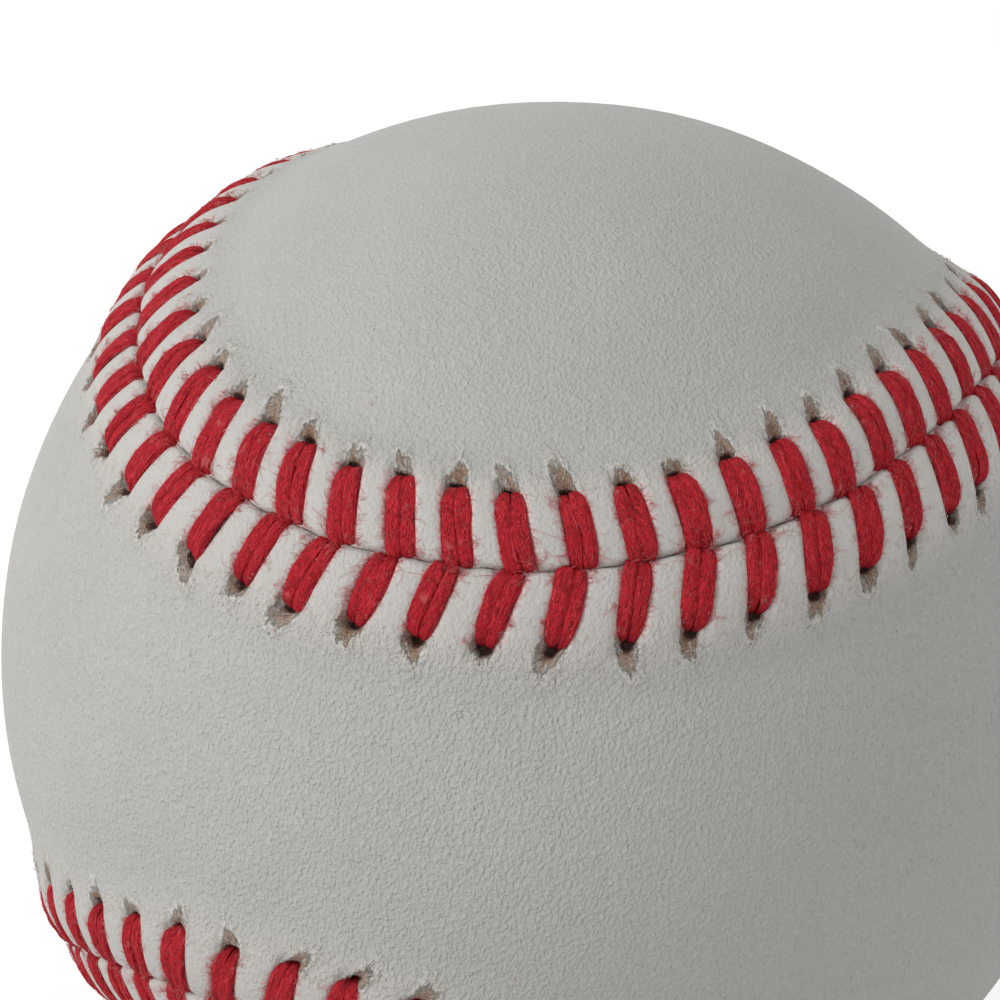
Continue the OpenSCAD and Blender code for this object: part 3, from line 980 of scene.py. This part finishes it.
    def relief(self):
        """The bumps, flatter where the leather is stretched and round the calm place."""
        toward = self.vector("DOT_PRODUCT", self.at, self.CALM_DIRECTION, output="Value")
        calm = self.ramp(toward, 0.66 * BALL_R, 0.97 * BALL_R, 1.0, 0.5)
        grain = self.ramp(self.past, -1.0, 1.0, 0.6, 1.0) * calm
        normal = None
        for height, distance in ((self.noise(self.at, 0.45, 2), 0.08), (self.wander, 0.030),
                                 (self.pebbles * grain, 0.160 * self.coarse),
                                 (self.pits * grain, 0.024 * self.coarse),
                                 (self.fine * calm, 0.028), (self.crease, 0.085),
                                 ((self.fibres + self.flakes * 0.5) * self.tear, 0.30),
                                 (self.noise(self.at, 5.0, 2, 0.6) * self.lip, 0.14)):
            normal = self.bump(height, distance, normal)
        return normal

    def made(self):
        # The tint beside the thread is painted light that offsets the crevice's shade.
        colour = self.creased(self.torn(self.painted_thread_bounce(self.plain())))
        rough = self.ramp(self.fine, 0.3, 0.7, 0.52, 0.66) + self.tear * 0.3
        return self.finish(colour, rough, self.relief())


def thread_material():
    p = Paint("red_thread", Specular_IOR_Level=0.12)
    around, along, seed = p.attribute("strand")
    lines = p.combine(around * 10.0, along * 1.9, seed * 60.0)
    fibres = p.noise(lines, 1.0, 2, 0.5, 1.1)
    hairs = p.noise(p.stretch(lines, (2.2, 2.6, 1.0)), 1.0, 2, 0.6, 0.9)
    at = p.place()
    # Fibre streaks: the fibres' own tones, with the contrast raised as painted shade between the fibres.
    colour = p.mix(p.ramp(fibres, 0.36, 0.54), (0.255, 0.008, 0.015), (0.635, 0.020, 0.036))
    # Pale pink on the high hairs: partly paler fibres, partly painted highlight.
    colour = p.mix(p.ramp(hairs, 0.50, 0.66, 0.0, 0.6), colour, (0.84, 0.110, 0.128))
    # Painted shade: dark red in the gaps between the fibre bundles.
    colour = p.mix(p.ramp(hairs, 0.32, 0.44, 0.4, 0.0), colour, (0.210, 0.005, 0.012))
    colour = p.mix(p.ramp(p.noise(at, 0.5, 2), 0.35, 0.65, 0.0, 0.3), colour, (0.51, 0.014, 0.026))
    worn = p.ramp(p.noise(at, 0.9, 2, 0.6), 0.62, 0.76, 0.0, 0.35)
    colour = p.mix(worn, colour, (0.76, 0.24, 0.235))
    grit = p.ramp(p.noise(at, 9.0, 2, 0.6), 0.72, 0.78, 0.0, 0.6)
    colour = p.mix(grit, colour, (0.72, 0.40, 0.40))
    return p.finish(colour, p.ramp(hairs, 0.3, 0.7, 0.65, 0.85), p.bump(hairs, 0.07, p.bump(fibres, 0.16)))


def fibre_material(name, dark, light, pale):
    """Single fibres, each with its own tone."""
    p = Paint(name, Roughness=0.75, Specular_IOR_Level=0.12)
    seed, share, _ = p.attribute("fibre")
    colour = p.mix(p.ramp(seed, 0.0, 0.8), dark, light)
    colour = p.mix(p.ramp(seed, 0.82, 0.95), colour, pale)
    colour = p.mix(p.ramp(p.noise(p.place(), 3.0, 2), 0.35, 0.7, 0.0, 0.3), colour, dark)
    return p.finish(p.mix(share * 0.25, colour, pale))


def yarn_material(name, light, dark, yarn):
    """Yarn wound over itself in several directions."""
    p = Paint(name, Roughness=0.85, Specular_IOR_Level=0.15, Sheen_Weight=0.2)
    at = p.place()
    height = None
    for angles in ((0.3, 0.9, 0.2), (1.3, -0.5, 0.8), (-0.7, 0.4, 1.6)):
        turned = p.node("Mapping", Vector=at, Rotation=angles)[0]
        wave = p.node("TexWave", {"wave_type": "BANDS", "bands_direction": "X"}, Vector=turned,
                      Scale=0.31 / yarn, Distortion=1.2, Detail=2.0, Detail_Scale=0.4)["Fac"]
        patch = p.ramp(p.noise(turned, 0.09, 1), 0.45, 0.55)
        height = wave if height is None else p.node("Mix", Factor=patch, A=height, B=wave)[0]
    fibre = p.noise(at, 5.0, 3, 0.7)
    # Painted shade and highlight: the yarn is darker in the grooves between its windings and lighter on their
    # crests.
    colour = p.mix(p.ramp(height, 0.1, 0.8), dark, light)
    colour = p.mix(p.ramp(fibre, 0.3, 0.7, 0.0, 0.3), colour, dark)
    return p.finish(colour, None, p.bump(fibre, 0.06, p.bump(height, 0.5 * yarn)))


def rubber_material(name, base, worn):
    p = Paint(name, Specular_IOR_Level=0.35)
    at = p.place()
    cloud = p.noise(at, 0.35, 3)
    grit = p.noise(at, 3.5, 3, 0.65)
    colour = p.mix(p.ramp(cloud, 0.35, 0.7), base, worn)
    colour = p.mix(p.ramp(grit, 0.62, 0.75, 0.0, 0.4), colour, worn)
    return p.finish(colour, p.ramp(cloud, 0.3, 0.7, 0.55, 0.75), p.bump(grit, 0.05))


def cork_material():
    p = Paint("cork_and_rubber", Specular_IOR_Level=0.25)
    at = p.place()
    tone = p.node("SeparateColor", Color=p.cells(at, 0.75)["Color"])[0]
    edge = p.cells(at, 0.75, "DISTANCE_TO_EDGE")["Distance"]
    fine = p.noise(at, 4.0, 3, 0.7)
    colour = p.mix(tone, (0.42, 0.25, 0.13), (0.68, 0.47, 0.28))
    colour = p.mix(p.ramp(tone, 0.86, 0.9), colour, (0.10, 0.07, 0.05))
    colour = p.mix(p.ramp(edge, 0.02, 0.09, 0.7, 0.0), colour, (0.16, 0.09, 0.05))
    colour = p.mix(p.ramp(fine, 0.55, 0.75, 0.0, 0.35), colour, (0.25, 0.15, 0.08))
    return p.finish(colour, 0.8, p.bump(fine, 0.05, p.bump(p.ramp(edge, 0.0, 0.15), 0.12)))


def cement_material():
    p = Paint("dried_cement", Specular_IOR_Level=0.4)
    streaks = p.noise(p.stretch(p.place(), (1.0, 0.3, 0.6)), 0.8, 3, 0.6, 0.8)
    colour = p.mix(p.ramp(streaks, 0.35, 0.65), (0.62, 0.54, 0.38), (0.74, 0.69, 0.55))
    return p.finish(colour, p.ramp(streaks, 0.3, 0.7, 0.35, 0.6), p.bump(streaks, 0.12))


# The object.

def dress(piece, look, slot, *nodes):
    piece.data.materials.append(look)
    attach(piece, "root")
    if nodes:
        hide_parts(*nodes)


for side, row, pale_to, coarse in (("front", FRONT, 3.0, 1.25), ("back", BACK, 1.6, 1.0)):
    look = Leather(side + "_leather", pale_to, coarse).made()
    dress(leather_panel("leather_" + side, row), look, "cover_leather", "cover_" + side)

thread = thread_material()
red_fibre = fibre_material("thread_fibre", (0.53, 0.016, 0.028), (0.82, 0.052, 0.070), (0.80, 0.115, 0.135))
pink_fibre = fibre_material("thread_fuzz", (0.62, 0.06, 0.07), (0.70, 0.16, 0.16), (0.74, 0.42, 0.39))
pale_fibre = fibre_material("thread_halo", (0.66, 0.12, 0.13), (0.75, 0.28, 0.27), (0.78, 0.52, 0.48))
grown = ("fuzz", pink_fibre, fuzz), ("lint", pink_fibre, tangles), ("halo", pale_fibre, halo)
rng = np.random.default_rng(41)
for side, row, seed in (("front", FRONT, 31), ("back", BACK, 37)):
    stitches, lying = thread_row("thread_" + side, row, seed)
    dress(stitches, thread, "red_thread", "stitches_" + side)
    dress(fibre_object("thread_fibres_" + side, *lying), red_fibre, "red_thread")
    for label, look, grow in grown:
        dress(fibre_object("thread_%s_%s" % (label, side), *grow(row, rng)), look, "red_thread")
shreds = fibre_material("torn_leather", (0.42, 0.32, 0.23), (0.64, 0.59, 0.52), (0.74, 0.72, 0.67))
both_rows = zip(torn_edge(FRONT, rng), torn_edge(BACK, rng))
dress(fibre_object("torn_shreds", *map(np.concatenate, both_rows)), shreds, "cover_leather")

black_rubber = rubber_material("black_rubber", (0.018, 0.018, 0.019), (0.045, 0.044, 0.042))
red_rubber = rubber_material("red_rubber", (0.34, 0.04, 0.032), (0.44, 0.10, 0.08))
inner_looks = {
    "centre": cork_material(),
    "inner_shell_lower": black_rubber,
    "inner_shell_upper": black_rubber,
    "shell_washer": rubber_material("washer_rubber", (0.40, 0.055, 0.045), (0.47, 0.11, 0.09)),
    "outer_shell_left": red_rubber,
    "outer_shell_right": red_rubber,
    "first_winding": yarn_material("grey_wool", (0.34, 0.335, 0.32), (0.13, 0.13, 0.125), 1.1),
    "second_winding": yarn_material("white_wool", (0.76, 0.72, 0.63), (0.42, 0.38, 0.30), 0.9),
    "third_winding": yarn_material("grey_wool_fine", (0.36, 0.35, 0.335), (0.14, 0.14, 0.13), 0.8),
    "fourth_winding": yarn_material("finishing_yarn", (0.82, 0.79, 0.72), (0.48, 0.45, 0.38), 0.35),
    "cement_coat": cement_material(),
}
for node, look in inner_looks.items():
    mesh = frame["nodes"][node].data
    mesh.materials.clear()
    mesh.materials.append(look)


# Floor, light and camera.

FLOOR_HALF = 4.0
FLOOR_GLOW = 0.50      # added for the camera, so that the lit floor shows as white and its shadow stays
WORLD_LIGHT = 0.59
KEY_DIRECTION = Vector((-0.650, -0.700, 0.360))
KEY_DISTANCE = 0.9
KEY_SIZE = 0.40
KEY_LEVEL = 0.42       # share of a colour's brightness that the key light gives
CAMERA_RIGHT = Vector((0.9095, 0.3916, 0.1395))
CAMERA_UP = Vector((-0.2488, 0.2440, 0.9373))
CAMERA_BACK = Vector((0.3330, -0.8872, 0.3194))
CAMERA_DISTANCE = 0.270
CAMERA_LENS = 143.7
CAMERA_SHIFT = (-0.0533, 0.1536)


def floor_material():
    p = Paint("pale_floor", Base_Color=(0.80, 0.80, 0.80), Roughness=0.9, Specular_IOR_Level=0.0)
    glow = p.node("Emission", Strength=p.seen_directly() * FLOOR_GLOW)[0]
    both = p.apply("AddShader", (), p.shader.outputs[0], glow)
    p.put(p.tree.nodes["Material Output"].inputs["Surface"], both)
    return p.material


floor_mesh = bpy.data.meshes.new("floor")
corners = [(x * FLOOR_HALF, y * FLOOR_HALF, -BALL_R * MM) for x, y in ((-1, -1), (1, -1), (1, 1), (-1, 1))]
floor_mesh.from_pydata(corners, [], [(0, 1, 2, 3)])
floor_mesh.materials.append(floor_material())
floor = add_object("floor", floor_mesh)

scene = bpy.context.scene
scene.world = bpy.data.worlds.new("studio")
scene.world.use_nodes = True
nodes = Nodes(scene.world.node_tree)
sky = nodes.tree.nodes["Background"]
nodes.put(sky.inputs["Color"], (1, 1, 1))
level = nodes.node("MapRange", Value=nodes.seen_directly(), To_Min=WORLD_LIGHT, To_Max=1.0)[0]
nodes.put(sky.inputs["Strength"], level)

key_data = bpy.data.lights.new("key", "AREA")
key_data.shape = "DISK"
key_data.size = KEY_SIZE
key_data.energy = math.pi ** 2 * KEY_LEVEL * KEY_DISTANCE ** 2
key = add_object("key", key_data)
key.location = KEY_DIRECTION.normalized() * KEY_DISTANCE
key.rotation_euler = KEY_DIRECTION.to_track_quat("Z", "Y").to_euler()

camera_data = bpy.data.cameras.new("camera")
camera_data.sensor_width = 36
camera_data.lens = CAMERA_LENS
camera_data.shift_x, camera_data.shift_y = CAMERA_SHIFT
camera_data.clip_start = 0.01
scene.camera = add_object("camera", camera_data)
facing = Matrix((CAMERA_RIGHT, CAMERA_UP, CAMERA_BACK)).transposed()
scene.camera.matrix_world = Matrix.Translation(CAMERA_BACK * CAMERA_DISTANCE) @ facing.to_4x4()
scene.view_settings.view_transform = "Standard"

bpy.context.view_layer.update()
